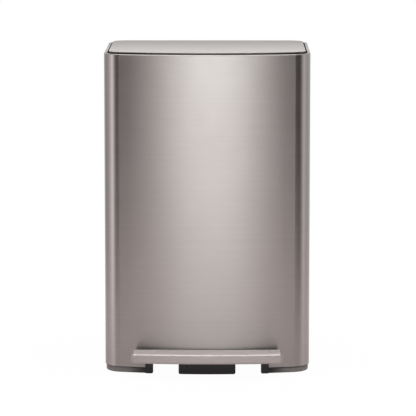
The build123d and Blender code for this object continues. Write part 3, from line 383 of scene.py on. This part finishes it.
PIECES = {
    "body_steel": ["body_shell"],
    "lid_steel": ["lid_skin"],
    "pedal_steel": ["pedal_tread"],
    "base_plastic": ["base"],
    "black_plastic": ["top_collar", "lid_tray", "channel_cover", "pedal_core", "axle_caps"],
    "bucket_plastic": ["inner_bucket"],
    "zinc_steel": ["lid_crank", "lever_arm_left", "lever_arm_right", "lever_crossbar", "lever_tongue",
                   "damper_arm"],
    "bright_steel": ["hinge_rod", "pedal_axle", "lift_rod", "upper_pin", "lower_pin", "damper_piston"],
    "screw_steel": ["foot_screws", "cover_screws", "guide_screws", "saddle_screws", "axle_cap_screws",
                    "axle_clips", "crank_screws", "pedal_screws", "pin_washers", "hinge_caps"],
    "white_nylon": ["rod_guides", "hinge_bushes", "axle_bushes", "damper_saddles"],
    "damper_grey": ["damper_cylinder"],
    "rubber": ["rubber_feet", "lid_bumpers"],
}
for finish, names in PIECES.items():
    for name in names:
        nodes[name].data.materials.clear()
        nodes[name].data.materials.append(finishes[finish])


def seen_share(tree, share, mirrored):
    """Share of a white backing shown to the camera, and the share shown to metal that mirrors it."""
    path = add(tree, "LightPath").outputs
    straight = math_out(tree, "MAXIMUM", path["Is Camera Ray"], path["Is Transmission Ray"])
    direct = math_out(tree, "MULTIPLY", straight, share)
    return math_out(tree, "MAXIMUM", direct, math_out(tree, "MULTIPLY", path["Is Glossy Ray"], mirrored))


# Pale floor that looks white, keeps the can's shadow, is painted darker near the can as painted shade, and is clear
# from below
def make_floor():
    near, far = FLOOR_ENDS
    spread = Matrix.Translation((0, (near + far) / 2, 0)) @ Matrix.Diagonal((FLOOR_WIDE, far - near, 1, 1))
    shape = bmesh.new()
    bmesh.ops.create_grid(shape, x_segments=1, y_segments=1, size=0.5, matrix=spread)
    mesh = bpy.data.meshes.new("floor")
    shape.to_mesh(mesh)
    shape.free()
    floor = bpy.data.objects.new("floor", mesh)
    bpy.context.scene.collection.objects.link(floor)
    made, tree, shader, output = new_material("floor_white")
    away = add(tree, "VectorMath", {0: place_out(tree)}, operation="LENGTH").outputs["Value"]
    # Painted shade: the floor's colour is darker near the can
    fade = ramp_out(tree, away, FLOOR_PAINTED_SHADE_ENDS)
    put(tree, shader.inputs["Base Color"], mix_out(tree, fade, FLOOR_PAINTED_SHADE, FLOOR_PALE))
    shader.inputs["Roughness"].default_value = FLOOR_ROUGH
    glow = add(tree, "Emission", {"Color": WHITE, "Strength": FLOOR_GLOW}).outputs[0]
    seen = seen_share(tree, FLOOR_SEEN, FLOOR_MIRRORED)
    above = add(tree, "MixShader", {0: seen, 1: shader.outputs[0], 2: glow}).outputs[0]
    below = add(tree, "NewGeometry").outputs["Backfacing"]
    clear = add(tree, "BsdfTransparent").outputs[0]
    both = add(tree, "MixShader", {0: below, 1: above, 2: clear}).outputs[0]
    put(tree, output.inputs["Surface"], both)
    mesh.materials.append(made)


def make_world():
    world = bpy.data.worlds.new("studio")
    bpy.context.scene.world = world
    world.use_nodes = True
    tree = world.node_tree
    tree.nodes.clear()
    way = add(tree, "TexCoord").outputs["Generated"]
    up = add(tree, "SeparateXYZ", {0: way}).outputs["Z"]
    flat = vector_out(tree, "MULTIPLY", way, (1, 1, 0))
    level = add(tree, "VectorMath", {0: flat}, operation="NORMALIZE").outputs[0]
    total = ramp_out(tree, up, OVERHEAD[:2], (0.0, OVERHEAD[2]))
    ahead = dot_out(tree, level, (0, -1, 0))
    wash = ramp_out(tree, ahead, FRONT_WASH[:2], (0.0, FRONT_WASH[2]))
    total = vector_out(tree, "ADD", total, scale_out(tree, ROSY, wash))
    for aim, narrow, strength, fade, tint in SOFT_LIGHTS:
        along = dot_out(tree, level, Vector(aim).normalized())
        lobe = math_out(tree, "POWER", math_out(tree, "MAXIMUM", along, 0.0), narrow)
        height = ramp_out(tree, up, fade, (strength, 0.0))
        glow = scale_out(tree, tint, math_out(tree, "MULTIPLY", lobe, height))
        total = vector_out(tree, "ADD", total, glow)
    seen = seen_share(tree, BACKDROP_SEEN, BACKDROP_MIRRORED)
    back = add(tree, "Background", {"Color": mix_out(tree, seen, total, WHITE)}).outputs[0]
    put(tree, add(tree, "OutputWorld").inputs["Surface"], back)


def turn_to(thing, place, aim):
    """Stands a lamp or camera at a place and turns it to what it looks at."""
    thing.location = place
    thing.rotation_euler = (Vector(aim) - Vector(place)).to_track_quat("-Z", "Y").to_euler()
    bpy.context.scene.collection.objects.link(thing)


def make_lamp(name, place, size, power, mirrored):
    data = bpy.data.lights.new(name, "AREA")
    data.shape = "RECTANGLE"
    data.size, data.size_y = size
    data.energy = power
    lamp = bpy.data.objects.new(name, data)
    lamp.visible_camera = False
    lamp.visible_glossy = mirrored
    turn_to(lamp, place, LAMP_AIM)


def make_camera():
    data = bpy.data.cameras.new("camera")
    data.sensor_width = SENSOR
    data.lens = LENS
    data.clip_end = CAMERA_REACH
    camera = bpy.data.objects.new("camera", data)
    turn_to(camera, CAMERA_PLACE, CAMERA_AIM)
    bpy.context.scene.camera = camera


make_floor()
make_world()
for name, settings in LAMPS.items():
    make_lamp(name, *settings)
make_camera()
bpy.context.scene.view_settings.view_transform = "Standard"
